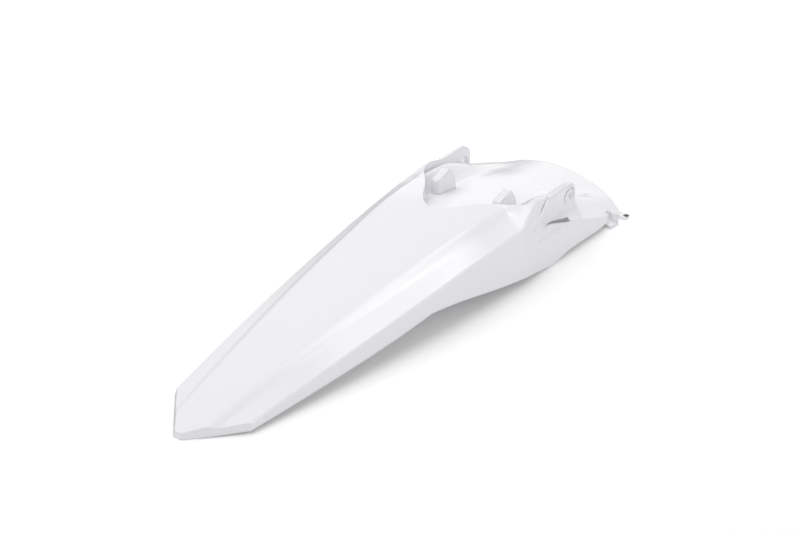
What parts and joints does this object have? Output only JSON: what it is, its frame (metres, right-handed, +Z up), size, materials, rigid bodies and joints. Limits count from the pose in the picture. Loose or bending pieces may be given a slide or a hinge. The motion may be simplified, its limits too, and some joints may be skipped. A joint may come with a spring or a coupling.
{
  "type": "motorcycle rear fender",
  "caption": "Long pointed rear mudguard for an off-road motorcycle: raised middle panel, side skirts, seat notch with hooks, bolt ears and an arched front guard.",
  "frame": {"origin": "middle of the length and width, on the plane of the bench it lies on", "axes": "+X points to the front of the motorcycle, +Y to its left side, +Z up"},
  "size_m": [0.607, 0.1868, 0.0806],
  "materials": {
    "gloss_white_plastic": "glossy moulded polypropylene"
  },
  "bodies": {
    "root": {"rear_fender": "gloss_white_plastic"}
  },
  "joints": []
}
